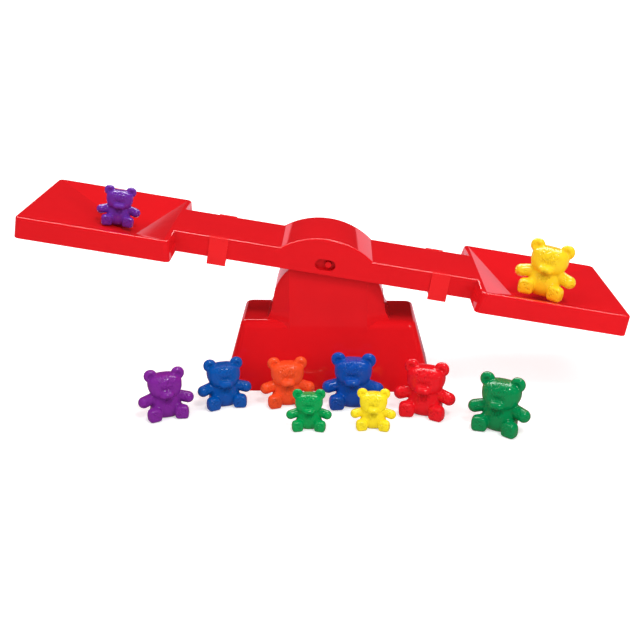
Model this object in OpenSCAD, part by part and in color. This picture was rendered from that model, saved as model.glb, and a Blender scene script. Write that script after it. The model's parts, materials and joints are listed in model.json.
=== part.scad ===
// Toy beam balance with two square pans, two sliding riders and ten bear counters.
// Millimetres. X runs along the beam, Y to the back, Z up.
// The origin is in the middle of the foot's underside.

/* [Beam] */
// Length of the beam from tip to tip
beam_length = 400; // [360:5:440]
// Width of the arm from front to back
arm_width = 58; // [56:1:70]
// Depth of the skirts on the arm and the pans
skirt_depth = 14; // [13.5:0.5:20]
// Wall thickness of the beam moulding
beam_wall = 2.2; // [1.6:0.1:3]
// Chord of the arched hub in the middle
hub_chord = 63; // [56:1:76]
// Height of the arched hub above the arm
hub_rise = 10.7; // [9:0.1:14]
// Tilt at which the beam rests on its stop
rest_tilt = 9.25; // [6:0.25:11]

/* [Pans] */
// Length of a pan along the beam
pan_length = 98; // [90:1:120]
// Width of a pan from front to back
pan_width = 112; // [100:1:130]
// Width of the level rim round a pan
pan_rim = 3; // [2:0.5:6]
// Radius of a pan's corners in plan
pan_corner_r = 4; // [3:0.5:8]
// Lean of a pan's inner wall, wider at the bottom
pan_lean = 2.5; // [0.5:0.5:4]
// Depth of the sunk floor at its lowest point
valley_depth = 8.5; // [8:0.5:16]
// Distance of the lowest point from the pan's inner end
valley_inset = 26; // [20:1:45]
// Distance of the lowest point in front of the pan's middle
valley_front = 22; // [0:1:30]
// Thickness of the sunk floor
floor_wall = 2; // [1.5:0.1:2]

/* [Foot] */
// Length of the foot at the table
foot_length = 144; // [134:1:170]
// Depth of the foot at the table, front to back
foot_depth = 76; // [70:1:90]
// Length of the foot across its shoulders
shoulder_length = 119; // [108:1:130]
// Height of the shoulders
shoulder_height = 46; // [38:1:50]
// Depth of the shoulders and the tower, front to back
tower_depth = 50; // [44:1:50]
// Width of the tower under its round head
tower_width = 76; // [70:1:80]
// Height of the tower's straight sides above the shoulders
tower_rise = 10; // [6:1:14]
// Width of the flat front of the tower
tower_flat = 53; // [45:1:56]
// Depth of the shallow bevels beside that flat
tower_bevel = 7.5; // [5:0.5:9]
// Wall thickness of the foot moulding
foot_wall = 2.2; // [1.8:0.1:3]
// Radius of the foot's upright corners
foot_corner_r = 5; // [3:0.5:8]
// Radius of the rounded front and back edges of the shoulders
shoulder_edge_r = 7; // [4:0.5:9]

/* [Pivot] */
// Height of the knife edge above the round head
knife_height = 6; // [5:0.5:8]
// Width of the knife edge at its root
knife_root = 8; // [6:0.5:9]
// Drop from the knife edge to the arm's top face
pivot_drop = 5.5; // [5:0.25:6]
// Diameter of the retaining pin
pin_d = 4.5; // [3.5:0.25:5]
// Distance that each end of the pin stays inside the skirt's outer face
pin_recess = 1.5; // [0.5:0.25:2]
// Length of the slot round the pin
slot_length = 13.7; // [13:0.1:16]
// Height of the slot round the pin
slot_height = 7.5; // [7:0.1:8]

/* [Riders] */
// Width of a rider along the beam
rider_width = 12.5; // [8:0.5:16]
// Thickness of a rider's strap
rider_wall = 0.9; // [0.7:0.1:1.5]
// Length of a rider's leg below the skirt
rider_reach = 4.7; // [3:0.1:6]
// Gap between the left rider and the left pan
rider_left_gap = 21.25; // [2:0.25:25]
// Gap between the right rider and the right pan
rider_right_gap = 15.75; // [2:0.25:25]

/* [Counters] */
// Height of a small bear
small_h = 25.5; // [22:0.5:29]
// Height of a medium bear
medium_h = 32; // [29:0.5:34]
// Height of a large bear
large_h = 36; // [34:0.5:39]

/* [Fits] */
// Clearance round the pin in the tower, on the radius
pin_fit = 0.05; // [0.02:0.01:0.1]
// Gap between the knife edge and the notches above it
knife_gap = 0.25; // [0.1:0.05:0.4]
// Gap left at the tilt stops
stop_gap = 0.3; // [0.1:0.05:0.5]
// Gap between a rider and the arm
rider_gap = 0.2; // [0.1:0.05:0.4]
// Gap between a bear and what it stands on in a pan
perch_gap = 0.3; // [0.1:0.05:0.5]

/* [Hidden] */
$fn = 64;

// One overrun serves every cut that runs past a face
cut = 1;

// Heights that follow from the sizes above
head_z = shoulder_height + tower_rise;
head_r = tower_width / 2;
pivot_z = head_z + head_r + knife_height;

// The beam is drawn level round its pivot, with the pivot at the origin
arm_top = -pivot_drop;
skirt_bottom = arm_top - skirt_depth;
web_under = arm_top - beam_wall;
inner_half = arm_width / 2 - beam_wall;
pan_start = beam_length / 2 - pan_length;
hub_r = (hub_chord * hub_chord / 4 + hub_rise * hub_rise) / (2 * hub_rise);
hub_centre = arm_top + hub_rise - hub_r;
pin_drop = pivot_drop + skirt_depth / 2;

// Edge and corner sizes that show as small highlights
shoulder_end_bevel = 2.5;
tower_root_flare = 2;
tower_root_fillet = 2.5;

// The notched ribs that hang in the hub over the knife edge
notch_rib_width = 16;
notch_rib_wall = 3;
notch_rib_drop = 4;
notch_half_angle = 55;
knife_end_inset = 3;
knife_sink = 1;

// The ribs under the arm that touch the round head at each end of the tilt
stop_rib_x = 34;

// The rib inside the foot, and the bosses that carry the pin
foot_rib_wall = 3;
pin_boss_wall = 2.5;
pin_boss_length = 4;

// Each rider's legs hook over the arm's top edges, and a web under the skirts joins them
rider_hook = 3;
rider_web = 1.5;
rider_left_x = pan_start - pan_lean - rider_left_gap - rider_width / 2;
rider_right_x = pan_start - pan_lean - rider_right_gap - rider_width / 2;

RED = "#d81f26";

// Height at which a stop rib ends, so that it meets the round head at the rest tilt
head_drop = pivot_z - head_z;
stop_b = head_drop * cos(rest_tilt);
stop_c = stop_rib_x * stop_rib_x + head_drop * head_drop
    - 2 * head_drop * stop_rib_x * sin(rest_tilt) - (head_r + stop_gap) * (head_r + stop_gap);
stop_rib_bottom = sqrt(stop_b * stop_b - stop_c) - stop_b;

// A pan's sunk floor: its four facets run from the rim down to one lowest point
valley_x = pan_start + valley_inset;
sunk_start = pan_start + pan_rim;
sunk_end = beam_length / 2 - pan_rim;
sunk_half = pan_width / 2 - pan_rim;

// A bear's form in shares of its height. Balls, bars across and rounded discs are given as
// [place, radius] and then half the length or half the thickness. It faces -Y and stands at 0.
trunk_share = [[0, 0.01, 0.24], 0.25];
hips_share = [[0, 0.01, 0.2], 0.21, 0.1];
chest_share = [[0, 0, 0.38], 0.17, 0.09];
skull_share = [[0, 0.01, 0.685], 0.225, 0.12];
jaw_share = [[0, -0.04, 0.56], 0.175, 0.11];
muzzle_share = [[0, -0.255, 0.52], 0.083, 0.06];
ear_share = [[0.277, 0.02, 0.866], 0.134, 0.075];
dish_share = [[0.272, -0.13, 0.862], 0.1];
arm_share = [[0.19, 0, 0.415], 0.115, 0.135];
thigh_share = [[0.17, 0.01, 0.15], 0.14, 0.13];
sole_share = [[0.275, -0.29, 0.145], 0.148, 0.09];
disc_rim_share = 0.06;
// Turns of the arms and legs, in degrees
arm_droop = 13;
arm_swing = 18;
thigh_turn = 67;
sole_turn = 14;

// Where each bear stands. On a pan: shares of the pan's length from its inner end, and of its width
// from the middle. On the table: multiples of the bear's own height, to the right of the middle and
// in front of the foot. The headings are turns about the bear's own upright axis.
purple_small_share = [0.411, -0.128];
yellow_large_share = [0.45, -0.253];
purple_medium_share = [-3.28, 1.19];
blue_medium_share = [-2.15, 0.63];
orange_medium_share = [-0.83, 0.54];
green_small_share = [-0.43, 2.12];
blue_large_share = [0.48, 0.53];
yellow_small_share = [1.17, 2.05];
red_large_share = [1.79, 0.86];
green_large_share = [3.06, 1.47];
purple_small_heading = 8;
yellow_large_heading = -22;
purple_medium_heading = 20;
blue_medium_heading = 18;
orange_medium_heading = 6;
green_small_heading = 0;
blue_large_heading = -5;
yellow_small_heading = -3;
red_large_heading = -18;
green_large_heading = -28;

// The facets under a place, each as its depth below the rim there and its slope: front, back,
// outwards, inwards
function facets(x, y) = let (
        run = [sunk_half - valley_front, sunk_half + valley_front,
            sunk_end - valley_x, valley_x - sunk_start],
        off = [sunk_half + y, sunk_half - y, sunk_end - abs(x), abs(x) - sunk_start])
    [for (i = [0:3]) [valley_depth * off[i] / run[i], valley_depth / run[i]]];

// How far a bear may sink below the rim before one of the round stretches under it meets the floor
function turned(p, a) = [p[0] * cos(a) - p[1] * sin(a), p[0] * sin(a) + p[1] * cos(a)];
function stretch_drop(at, centre, r, h, heading) =
    let (off = turned([centre[0] * h, centre[1] * h], heading))
    min([for (f = facets(at[0] + off[0], at[1] + off[1]))
        f[0] + centre[2] * h - r * h * sqrt(1 + f[1] * f[1])]);
function perch(at, h, heading) = min([
    stretch_drop(at, trunk_share[0], trunk_share[1], h, heading),
    for (x = [-1, 1] * hips_share[2])
        stretch_drop(at, hips_share[0] + [x, 0, 0], hips_share[1], h, heading),
    for (side = [-1, 1], y = [-1, 1] * (sole_share[2] - disc_rim_share))
        stretch_drop(at, [side * sole_share[0][0], sole_share[0][1] + y, sole_share[0][2]],
            sole_share[1], h, heading)]) - perch_gap;

// Places the beam on its pivot, at rest on its right-hand stop
module on_pivot() {
    translate([0, 0, pivot_z]) rotate([0, rest_tilt, 0]) children();
}

// A block between two X values, centred on Y, between two Z values
module slab(x0, x1, width, z0, z1) {
    translate([x0, -width / 2, z0]) cube([x1 - x0, width, z1 - z0]);
}

// Extrudes a profile drawn in X and Z, centred on Y
module across(width) {
    translate([0, width / 2, 0]) rotate([90, 0, 0]) linear_extrude(height = width) children();
}

// A flat plate outline with round corners
module round_plan(x0, x1, width, r) {
    translate([x0 + r, -width / 2]) square([x1 - x0 - 2 * r, width]);
    translate([x0, r - width / 2]) square([x1 - x0, width - 2 * r]);
    for (x = [x0 + r, x1 - r], y = [r - width / 2, width / 2 - r])
        translate([x, y]) circle(r = r);
}

// The four sloping facets of a pan's floor, closed on top, with the rim at z_rim
module sunk_pyramid(z_rim, low_y) {
    corners = [[sunk_start, -sunk_half], [sunk_end, -sunk_half],
        [sunk_end, sunk_half], [sunk_start, sunk_half]];
    polyhedron(
        points = concat(
            [for (c = corners) [c[0], c[1], z_rim]],
            [for (c = corners) [c[0], c[1], z_rim + cut]],
            [[valley_x, low_y, z_rim - valley_depth]]),
        faces = concat(
            [[7, 6, 5, 4]],
            [for (i = [0:3]) [i, i + 4, (i + 1) % 4 + 4, (i + 1) % 4]],
            [for (i = [0:3]) [i, (i + 1) % 4, 8]]));
}

// Outer block of the right-hand pan, with its leaning inner wall
module pan_block() {
    intersection() {
        translate([0, 0, skirt_bottom]) linear_extrude(height = skirt_depth)
            round_plan(pan_start - pan_lean, beam_length / 2, pan_width, pan_corner_r);
        across(pan_width + 2 * cut) polygon([
            [pan_start - pan_lean, skirt_bottom], [beam_length / 2, skirt_bottom],
            [beam_length / 2, arm_top], [pan_start, arm_top]]);
    }
}

// Space under the right-hand pan's floor
module pan_hollow(low_y) {
    difference() {
        slab(pan_start + beam_wall, beam_length / 2 - beam_wall,
            pan_width - 2 * beam_wall, skirt_bottom - cut, arm_top - floor_wall);
        sunk_pyramid(arm_top - floor_wall, low_y);
    }
}

// Segment of a round bar along Y above a given height, for the hub
module hub_segment(r, width, z0) {
    intersection() {
        translate([0, 0, hub_centre]) rotate([90, 0, 0])
            cylinder(r = r, h = width, center = true, $fn = 128);
        slab(-hub_chord, hub_chord, width + 2 * cut, z0, hub_centre + r + cut);
    }
}

// Slot through both skirts for the ends of the pin
module pin_slot() {
    run = slot_length - slot_height;
    across(arm_width + 2 * cut) translate([0, -pin_drop]) {
        square([run, slot_height], center = true);
        for (side = [-1, 1]) translate([side * run / 2, 0]) circle(d = slot_height);
    }
}

// Notched ribs that hang from the hub and rest on the knife edge
module notch_ribs() {
    gap = tower_depth - 2 * knife_end_inset - 2 * notch_rib_wall;
    half = notch_rib_width / 2;
    slope = tan(notch_half_angle);
    for (side = [-1, 1]) translate([0, side * gap / 2, 0]) difference() {
        intersection() {
            slab(-half, half, notch_rib_wall, -notch_rib_drop, hub_rise);
            translate([0, 0, hub_centre]) rotate([90, 0, 0])
                cylinder(r = hub_r - beam_wall / 2, h = arm_width, center = true, $fn = 128);
        }
        across(arm_width) polygon([[0, knife_gap],
            [-slope * (notch_rib_drop + cut + knife_gap), -notch_rib_drop - cut],
            [slope * (notch_rib_drop + cut + knife_gap), -notch_rib_drop - cut]]);
    }
}

// Ribs under the arm that stop the tilt against the round head
module stop_ribs() {
    for (side = [-1, 1]) scale([side, 1, 1])
        slab(stop_rib_x, stop_rib_x + beam_wall, arm_width - beam_wall,
            stop_rib_bottom, web_under + beam_wall / 2);
}

module balance_beam() {
    color(RED) on_pivot() {
        difference() {
            union() {
                slab(-pan_start - beam_wall / 2, pan_start + beam_wall / 2, arm_width,
                    skirt_bottom, arm_top);
                hub_segment(hub_r, arm_width, skirt_bottom + beam_wall);
                for (turn = [0, 180]) rotate([0, 0, turn]) pan_block();
            }
            slab(-pan_start, pan_start, 2 * inner_half, skirt_bottom - cut, web_under);
            hub_segment(hub_r - beam_wall, 2 * inner_half, web_under - cut);
            // Both pans are lowest in front, so the turned one is drawn with that point behind
            for (side = [-1, 1]) rotate([0, 0, side < 0 ? 180 : 0]) {
                pan_hollow(-side * valley_front);
                sunk_pyramid(arm_top, -side * valley_front);
            }
            pin_slot();
        }
        notch_ribs();
        stop_ribs();
    }
}

// Clip round the arm from below: two legs with hooks over the top edges, and a web between them
module rider(x) {
    outer = arm_width + 2 * (rider_gap + rider_wall);
    inner = arm_width + 2 * rider_gap;
    web_top = skirt_bottom - rider_gap;
    hook_under = arm_top + rider_gap;
    color(RED) on_pivot() difference() {
        slab(x - rider_width / 2, x + rider_width / 2, outer,
            skirt_bottom - rider_reach, hook_under + rider_wall);
        slab(x - rider_width, x + rider_width, inner, web_top, hook_under);
        slab(x - rider_width, x + rider_width, inner - 2 * rider_hook,
            hook_under - cut, hook_under + rider_wall + cut);
        slab(x - rider_width, x + rider_width, inner,
            skirt_bottom - rider_reach - cut, web_top - rider_web);
    }
}

module rider_left() {
    rider(-rider_left_x);
}

module rider_right() {
    rider(rider_right_x);
}

// The sloping foot with rounded shoulders, drawn inset by a wall for the space inside
module foot_form(inset, z0) {
    front_lean = atan((foot_depth - tower_depth) / 2 / shoulder_height);
    edge_r = shoulder_edge_r - inset;
    roller_y = tower_depth / 2 - shoulder_edge_r / tan((90 + front_lean) / 2);
    half_top = shoulder_length / 2 - inset;
    corner_x = foot_length / 2 - foot_corner_r;
    corner_y = foot_depth / 2 - foot_corner_r;
    hull() {
        for (x = [-corner_x, corner_x], y = [-corner_y, corner_y])
            translate([x, y, z0]) cylinder(r = foot_corner_r - inset, h = cut / 10, $fn = 32);
        for (y = [-roller_y, roller_y]) translate([0, y, shoulder_height - shoulder_edge_r])
            rotate([0, 90, 0]) {
                cylinder(r = edge_r, h = 2 * (half_top - shoulder_end_bevel), center = true, $fn = 32);
                cylinder(r = edge_r - shoulder_end_bevel, h = 2 * half_top, center = true, $fn = 32);
            }
    }
}

// The tower with its round head, drawn inset by a wall for the space inside
module tower_form(inset, z0) {
    half = tower_width / 2 - inset;
    root = half + tower_root_flare;
    depth = tower_depth / 2 - inset;
    flat = tower_flat / 2 - inset / 2;
    intersection() {
        across(tower_depth) {
            polygon([[-root, z0], [root, z0], [root, shoulder_height], [half, head_z],
                [-half, head_z], [-root, shoulder_height]]);
            translate([0, head_z]) circle(r = half, $fn = 128);
        }
        translate([0, 0, z0]) linear_extrude(height = pivot_z) polygon([
            [-flat, -depth], [flat, -depth], [root, tower_bevel - depth], [root, depth - tower_bevel],
            [flat, depth], [-flat, depth], [-root, depth - tower_bevel], [-root, tower_bevel - depth]]);
    }
}

// Small fillets where the tower stands on the shoulders
module root_fillets() {
    root = tower_width / 2 + tower_root_flare;
    for (side = [-1, 1]) scale([side, 1, 1])
        across(tower_depth - 2 * tower_bevel) difference() {
            translate([root - cut, shoulder_height - cut])
                square([tower_root_fillet + cut, tower_root_fillet + cut]);
            translate([root + tower_root_fillet, shoulder_height + tower_root_fillet])
                circle(r = tower_root_fillet);
        }
}

// Everything inside the foot's outer skin, used to trim what is added inside
module foot_solid() {
    foot_form(0, 0);
    tower_form(0, shoulder_height / 2);
}

module pin_bosses() {
    boss_d = pin_d + 2 * (pin_fit + pin_boss_wall);
    translate([0, 0, pivot_z - pin_drop]) rotate([90, 0, 0])
        cylinder(d = boss_d, h = foot_rib_wall + 2 * pin_boss_length, center = true);
    for (side = [-1, 1])
        translate([0, side * (tower_depth / 2 - (foot_wall + pin_boss_length) / 2), pivot_z - pin_drop])
            rotate([90, 0, 0])
                cylinder(d = boss_d, h = foot_wall + pin_boss_length - cut / 2, center = true);
}

// Knife edge along the top of the round head
module knife_edge() {
    across(tower_depth - 2 * knife_end_inset) polygon([
        [-knife_root / 2, pivot_z - knife_height - knife_sink],
        [knife_root / 2, pivot_z - knife_height - knife_sink], [0, pivot_z]]);
}

module base_shell() {
    color(RED) difference() {
        union() {
            difference() {
                union() {
                    foot_solid();
                    root_fillets();
                }
                foot_form(foot_wall, -cut);
                tower_form(foot_wall, shoulder_height / 2);
            }
            slab(foot_wall - foot_length / 2, foot_length / 2 - foot_wall, foot_rib_wall,
                0, shoulder_height / 4);
            intersection() {
                foot_solid();
                slab(-foot_length / 2, foot_length / 2, foot_rib_wall, 0, pivot_z);
            }
            intersection() {
                tower_form(0, shoulder_height / 2);
                pin_bosses();
            }
            knife_edge();
        }
        translate([0, 0, pivot_z - pin_drop]) rotate([90, 0, 0])
            cylinder(d = pin_d + 2 * pin_fit, h = 2 * tower_depth, center = true);
    }
}

module retaining_pin() {
    color(RED) translate([0, 0, pivot_z - pin_drop]) rotate([90, 0, 0])
        cylinder(d = pin_d, h = arm_width - 2 * pin_recess, center = true);
}

// A round-ended bar along X, given by the places of its two end centres
module bar(x0, x1, r) {
    translate([x0, 0, 0]) rotate([0, 90, 0]) rotate_extrude() intersection() {
        union() {
            circle(r = r);
            translate([0, x1 - x0]) circle(r = r);
            translate([-r, 0]) square([2 * r, x1 - x0]);
        }
        translate([0, -r]) square([r, x1 - x0 + 2 * r]);
    }
}

// A disc with a rounded rim, its axis along Y
module disc(r, half, rim) {
    rotate([90, 0, 0]) rotate_extrude() intersection() {
        union() {
            translate([0, -half]) square([r - rim, 2 * half]);
            for (y = [rim - half, half - rim]) translate([r - rim, y]) circle(r = rim);
            translate([0, rim - half]) square([r, 2 * (half - rim)]);
        }
        translate([0, -half]) square([r, 2 * half]);
    }
}

// One part of a bear that lies across it, from its shares
module across_bear(share, h) {
    translate(share[0] * h) bar(-share[2] * h, share[2] * h, share[1] * h);
}

// The arm, leg and ear of a bear's left side, which is at +X
module bear_side(h) {
    difference() {
        translate(ear_share[0] * h) disc(ear_share[1] * h, ear_share[2] * h, disc_rim_share * h);
        translate(dish_share[0] * h) sphere(r = dish_share[1] * h);
    }
    translate(arm_share[0] * h) rotate([0, arm_droop, -arm_swing])
        bar(0, 2 * arm_share[2] * h, arm_share[1] * h);
    translate(thigh_share[0] * h) rotate([0, 0, -thigh_turn])
        bar(0, 2 * thigh_share[2] * h, thigh_share[1] * h);
    translate(sole_share[0] * h) rotate([0, 0, sole_turn])
        disc(sole_share[1] * h, sole_share[2] * h, disc_rim_share * h);
}

// Seated bear of a given height, facing -Y, cut flat underneath
module bear(h) {
    intersection() {
        union() {
            translate(trunk_share[0] * h) sphere(r = trunk_share[1] * h);
            across_bear(hips_share, h);
            across_bear(chest_share, h);
            across_bear(skull_share, h);
            across_bear(jaw_share, h);
            across_bear(muzzle_share, h);
            bear_side(h);
            mirror([1, 0, 0]) bear_side(h);
        }
        translate([-h, -h, 0]) cube([2 * h, 2 * h, 2 * h]);
    }
}

// Stands a bear on the table, turned to its heading
module table_bear(h, share, heading, tint) {
    color(tint) translate([share[0] * h, -foot_depth / 2 - share[1] * h, 0])
        rotate([0, 0, heading]) bear(h);
}

// Perches a bear on the sunk floor of the pan on one side, square to the beam
module pan_bear(h, side, share, heading, tint) {
    at = [side * (pan_start + share[0] * pan_length), share[1] * pan_width];
    color(tint) on_pivot() translate([at[0], at[1], arm_top - perch(at, h, heading)])
        rotate([0, 0, heading]) bear(h);
}

module bear_purple_small() {
    pan_bear(small_h, -1, purple_small_share, purple_small_heading, "#642d91");
}

module bear_yellow_large() {
    pan_bear(large_h, 1, yellow_large_share, yellow_large_heading, "#fac81e");
}

module bear_purple_medium() {
    table_bear(medium_h, purple_medium_share, purple_medium_heading, "#802896");
}

module bear_blue_medium() {
    table_bear(medium_h, blue_medium_share, blue_medium_heading, "#0055aa");
}

module bear_orange_medium() {
    table_bear(medium_h, orange_medium_share, orange_medium_heading, "#f35028");
}

module bear_green_small() {
    table_bear(small_h, green_small_share, green_small_heading, "#00a050");
}

module bear_blue_large() {
    table_bear(large_h, blue_large_share, blue_large_heading, "#0a46a0");
}

module bear_yellow_small() {
    table_bear(small_h, yellow_small_share, yellow_small_heading, "#ffe428");
}

module bear_red_large() {
    table_bear(large_h, red_large_share, red_large_heading, "#e61c26");
}

module bear_green_large() {
    table_bear(large_h, green_large_share, green_large_heading, "#00874b");
}

base_shell();
retaining_pin();
balance_beam();
rider_left();
rider_right();
bear_purple_small();
bear_yellow_large();
bear_purple_medium();
bear_blue_medium();
bear_orange_medium();
bear_green_small();
bear_blue_large();
bear_yellow_small();
bear_red_large();
bear_green_large();
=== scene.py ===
"""Dresses the toy beam balance: red mouldings, riders and ten bear counters, in metres."""

import json
import math

import bmesh
import bpy
import numpy as np
from mathutils import Matrix, Vector


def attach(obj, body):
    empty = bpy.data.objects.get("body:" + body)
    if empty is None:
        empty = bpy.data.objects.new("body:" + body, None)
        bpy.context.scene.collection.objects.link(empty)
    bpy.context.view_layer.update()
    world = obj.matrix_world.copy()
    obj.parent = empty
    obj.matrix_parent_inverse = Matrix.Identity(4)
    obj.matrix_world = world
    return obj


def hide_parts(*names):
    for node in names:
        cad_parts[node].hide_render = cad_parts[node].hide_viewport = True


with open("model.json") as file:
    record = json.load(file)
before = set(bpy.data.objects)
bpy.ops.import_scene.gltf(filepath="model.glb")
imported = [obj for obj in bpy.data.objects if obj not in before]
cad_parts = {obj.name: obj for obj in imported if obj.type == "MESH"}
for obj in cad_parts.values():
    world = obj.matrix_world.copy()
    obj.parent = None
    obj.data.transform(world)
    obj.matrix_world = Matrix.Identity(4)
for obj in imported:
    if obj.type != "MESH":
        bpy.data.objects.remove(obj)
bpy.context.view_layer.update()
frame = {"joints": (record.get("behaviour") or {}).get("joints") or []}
JOINTS = {joint["name"]: joint for joint in frame["joints"]}

MM = 0.001

# The beam's pivot and the tilt that it rests at, both from the frame
PIVOT = Vector(JOINTS["beam_tilt"]["pos_m"])
ALONG = Vector(JOINTS["rider_left_slide"]["axis"])
TILT = math.atan2(-ALONG.z, ALONG.x)
ON_PIVOT = Matrix.Translation(PIVOT) @ Matrix.Rotation(TILT, 4, "Y")

# Beam, level round its pivot
BEAM_HALF = 200 * MM
ARM_HALF_WIDTH = 29 * MM
ARM_TOP = -5.5 * MM
SKIRT = 14 * MM
BEAM_WALL = 2.2 * MM
HUB_HALF = 31.5 * MM
HUB_RISE = 10.7 * MM
PAN_START = 102 * MM
PAN_HALF_WIDTH = 56 * MM
PAN_RIM = 3 * MM
PAN_CORNER = 4 * MM
PAN_CORNER_TO_CORNER = BEAM_HALF - PAN_START - PAN_CORNER
PAN_LEAN = 2.5 * MM
VALLEY_DEPTH = 8.5 * MM
VALLEY_X = 128 * MM
VALLEY_Y = -22 * MM
FLOOR_WALL = 2 * MM
SLOT_LENGTH = 13.7 * MM
SLOT_HEIGHT = 7.5 * MM
NOTCH_HALF_WIDTH = 8 * MM
NOTCH_WALL = 3 * MM
NOTCH_DROP = 4 * MM
NOTCH_Y = 20.5 * MM
NOTCH_SLOPE = math.tan(math.radians(55))
KNIFE_GAP = 0.25 * MM
STOP_X = 34 * MM
STOP_DROP = 16.19 * MM
PAN_CORNER_STEPS = 24
BEAM_TOP_EDGE = 1.0 * MM
BEAM_LOW_EDGE = 0.4 * MM
BEAM_CREASE = math.radians(35)

# Foot
FOOT_HALF_LENGTH = 72 * MM
FOOT_HALF_DEPTH = 38 * MM
SHOULDER_HALF_LENGTH = 59.5 * MM
TOWER_HALF_DEPTH = 25 * MM
SHOULDER_Z = 46 * MM
FOOT_CORNER = 5 * MM
FRONT_EDGE = 7 * MM
END_EDGE = 4 * MM
LEAST_END_EDGE = 0.3 * MM
CORNER_CLOSING = 1.5 * MM
LEAST_CORNER = 0.8 * MM
FOOT_WALL = 2.2 * MM
FOOT_EDGE = 0.7 * MM
SHOULDER_EDGE = 3 * MM
SHOULDER_REACH = 3.5 * MM
SLOPE_STEPS, FRONT_STEPS, END_STEPS = 6, 20, 8
TOWER_HALF = 38 * MM
TOWER_FLARE = 2 * MM
ROOT_FLARE = 3.5 * MM
ROOT_RISE = 11 * MM
ROOT_SIDE_FLARE = 0.3
ROOT_CURVE = 2.2
ROOT_STEPS = 16
TOWER_FLAT = 26.5 * MM
TOWER_BEVEL = 7.5 * MM
TOWER_EDGE = 2 * MM
TOWER_EDGE_REACH = 0.5 * MM
HEAD_Z = 56 * MM
KNIFE_HALF = 4 * MM
KNIFE_END = 3 * MM
KNIFE_HEIGHT = 5 * MM
KNIFE_EDGE = 0.15 * MM
RIB_WALL = 3 * MM
PIN_R = 2.25 * MM
PIN_HALF = 27.5 * MM
PIN_Z = 87.5 * MM
PIN_FIT = 0.05 * MM
PIN_EDGE = 0.6 * MM
PIN_STEPS = 48
PIN_EDGE_STEPS = 6

# Riders
RIDER_WIDTH = 12.5 * MM
RIDER_WALL = 0.9 * MM
RIDER_GAP = 0.2 * MM
RIDER_REACH = 4.7 * MM
RIDER_HOOK = 3 * MM
HOOK_GAP = 0.05 * MM
HOOK_WALL = 0.2 * MM
RIDER_WEB = 1.5 * MM
RIDER_LEFT_X = -72 * MM
RIDER_RIGHT_X = 77.5 * MM
RIDER_EDGE = 0.2 * MM
RIDER_SHOULDER_EDGE = 0.45 * MM

# Cuts run past a face by this much, and a point this close to a face counts as on it
OVERRUN = 1 * MM
CLOSE = 0.1 * MM
ARC_STEPS = 48

# Faces flatter than this are one face, and edges sharper than this are creases
FLAT_ANGLE = math.radians(0.4)
CREASE_ANGLE = math.radians(5)

# No real edge is as short as this, and points this close are one point
SHORTEST_EDGE = 0.12 * MM
SAME_POINT = 0.002 * MM


def new_object(name, points, faces):
    """A mesh object in the scene, from points and faces."""
    mesh = bpy.data.meshes.new(name)
    mesh.from_pydata([tuple(p) for p in points], [], [tuple(f) for f in faces])
    mesh.validate()
    made = bpy.data.objects.new(name, mesh)
    bpy.context.scene.collection.objects.link(made)
    return made


def loft(name, rings):
    """A closed solid through rings of equally many points, capped at both ends."""
    count = len(rings[0])
    points = [p for ring in rings for p in ring]
    faces = [tuple(reversed(range(count)))]
    for level in range(len(rings) - 1):
        a, b = level * count, (level + 1) * count
        for i in range(count):
            j = (i + 1) % count
            faces.append((a + i, a + j, b + j, b + i))
    faces.append(tuple(range((len(rings) - 1) * count, len(rings) * count)))
    made = new_object(name, points, faces)
    outward(made)
    return made


def outward(made):
    """Turns every face of a mesh outwards."""
    work = bmesh.new()
    work.from_mesh(made.data)
    bmesh.ops.recalc_face_normals(work, faces=work.faces)
    work.to_mesh(made.data)
    work.free()


def across(name, outline, half):
    """Extrudes an outline of X and Z to both sides of Y 0."""
    return loft(name, [[(x, y, z) for x, z in outline] for y in (-half, half)])


def upward(name, outline, low, high):
    """Extrudes an outline of X and Y between two heights."""
    return loft(name, [[(x, y, z) for x, y in outline] for z in (low, high)])


def block(name, low, high):
    """A box between two corners."""
    outline = [(low[0], low[1]), (high[0], low[1]), (high[0], high[1]), (low[0], high[1])]
    return upward(name, outline, low[2], high[2])


def arc(centre, radius, start, end, steps):
    """Points of an arc, its angles in degrees, both ends included."""
    angles = [math.radians(start + (end - start) * i / steps) for i in range(steps + 1)]
    x, y = centre
    return [(x + radius * math.cos(a), y + radius * math.sin(a)) for a in angles]


def settle(made):
    """Replaces a piece's mesh with what its modifiers make of it."""
    graph = bpy.context.evaluated_depsgraph_get()
    mesh = bpy.data.meshes.new_from_object(
        made.evaluated_get(graph), preserve_all_data_layers=True, depsgraph=graph
    )
    old = made.data
    made.modifiers.clear()
    made.data = mesh
    bpy.data.meshes.remove(old)


def combine(target, tool, operation):
    """Unites, subtracts or intersects a tool, which is used up."""
    change = target.modifiers.new("boolean", "BOOLEAN")
    change.operation = operation
    change.solver = "EXACT"
    change.object = tool
    settle(target)
    mesh = tool.data
    bpy.data.objects.remove(tool)
    bpy.data.meshes.remove(mesh)


def tidy(made):
    """Joins the flat faces and doubled points that boolean steps leave."""
    work = bmesh.new()
    work.from_mesh(made.data)
    bmesh.ops.remove_doubles(work, verts=work.verts, dist=SAME_POINT)
    bmesh.ops.dissolve_limit(
        work, angle_limit=FLAT_ANGLE, verts=work.verts, edges=work.edges
    )
    bmesh.ops.recalc_face_normals(work, faces=work.faces)
    work.to_mesh(made.data)
    work.free()


def slice_flat(made, centre):
    """Cuts a mesh's faces upright and level at a point, so that none runs all round a hole."""
    work = bmesh.new()
    work.from_mesh(made.data)
    for normal in ((1, 0, 0), (0, 0, 1)):
        everything = work.verts[:] + work.edges[:] + work.faces[:]
        bmesh.ops.bisect_plane(work, geom=everything, plane_co=centre, plane_no=normal)
    work.to_mesh(made.data)
    work.free()


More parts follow.
